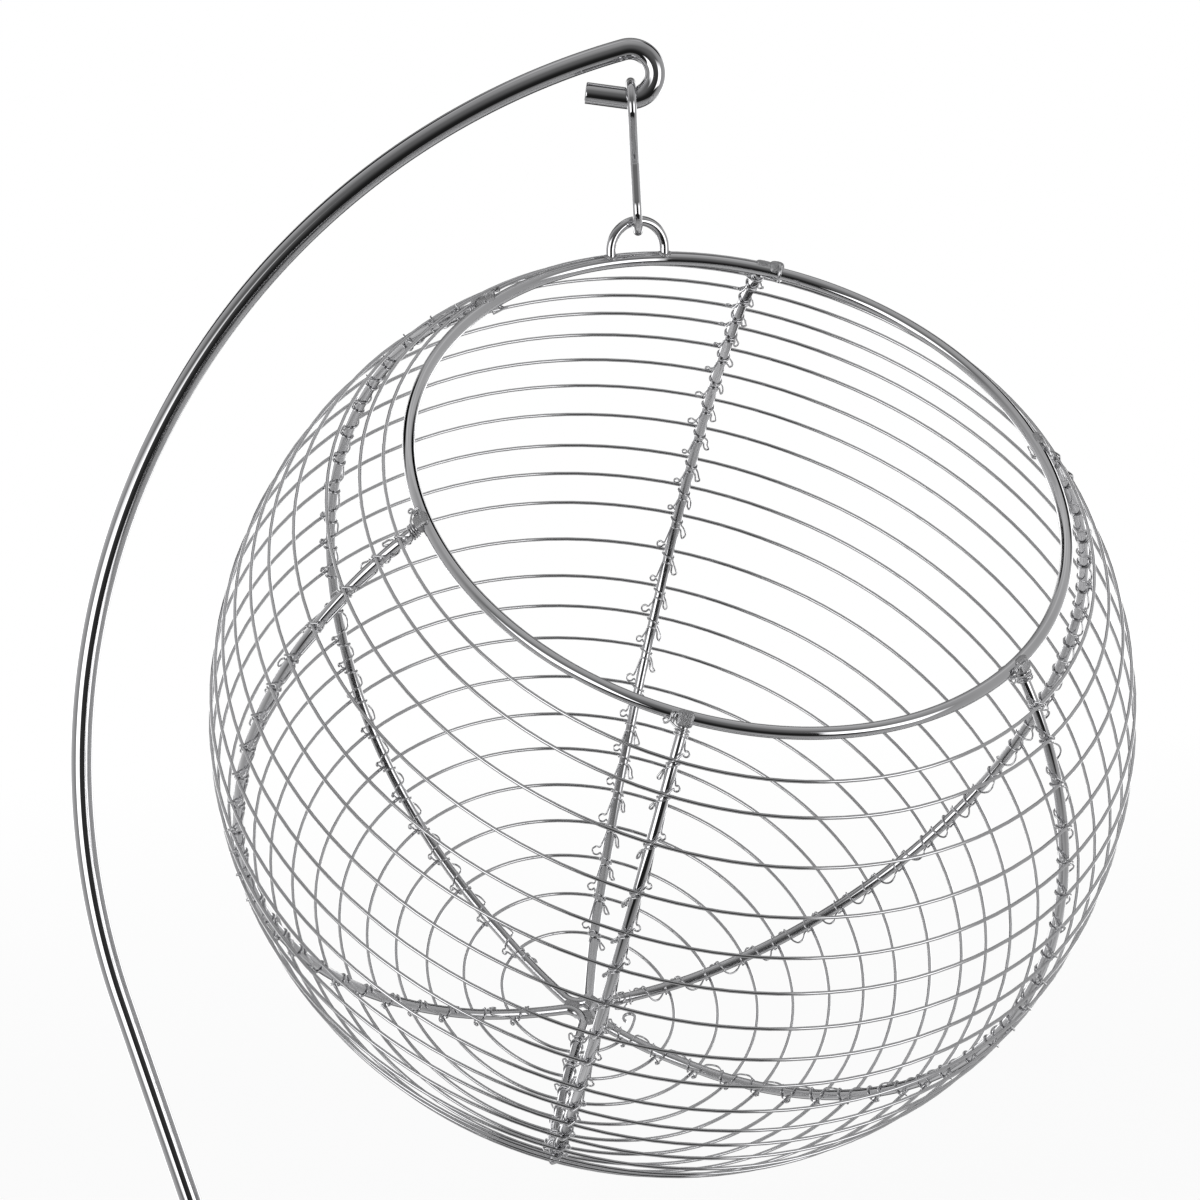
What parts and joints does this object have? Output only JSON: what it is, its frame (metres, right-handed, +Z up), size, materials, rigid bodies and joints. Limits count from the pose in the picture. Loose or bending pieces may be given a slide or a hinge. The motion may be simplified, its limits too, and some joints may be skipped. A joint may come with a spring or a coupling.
{
  "type": "hanging fruit basket",
  "caption": "Chromed wire fruit basket: an open-mouthed globe wound from one thin wire on meridian ribs, hung by an S-hook from a C-shaped rod stand with a ring base.",
  "frame": {"origin": "on the table, in the middle of the whole part's footprint", "axes": "+Z up, +X along the stand from its rod towards the hook, -Y the side that the mouth faces"},
  "size_m": [0.3464, 0.3122, 0.4183],
  "materials": {
    "chrome_rod": "mirror-polished chrome plating on thick steel rod",
    "chrome_wire": "bright chrome plating on steel wire",
    "binding_wire": "bright chrome plating on thin binding wire"
  },
  "bodies": {
    "stand": {"stand_rod": "chrome_rod", "base_ring": "chrome_rod"},
    "hook": {"s_hook": "chrome_wire"},
    "globe": {"rim_ring": "chrome_wire", "hanging_eye": "chrome_wire", "winding_wire": "chrome_wire", "rib_hairpin_1": "chrome_wire", "rib_hairpin_2": "chrome_wire", "rib_hairpin_3": "chrome_wire", "binding_wire_1": "binding_wire", "binding_wire_2": "binding_wire", "binding_wire_3": "binding_wire", "binding_wire_4": "binding_wire", "binding_wire_5": "binding_wire", "binding_wire_6": "binding_wire"}
  },
  "joints": [
    {"name": "hook_swing", "type": "hinge", "parent": "stand", "child": "hook", "pos_m": [0.01983, 0.00271, 0.39729], "axis": [1, 0, 0], "range_deg": [-30, 30]},
    {"name": "basket_sway", "type": "hinge", "parent": "hook", "child": "globe", "pos_m": [0.01983, 0.00271, 0.35631], "axis": [0, 1, 0], "range_deg": [-30, 12]}
  ]
}
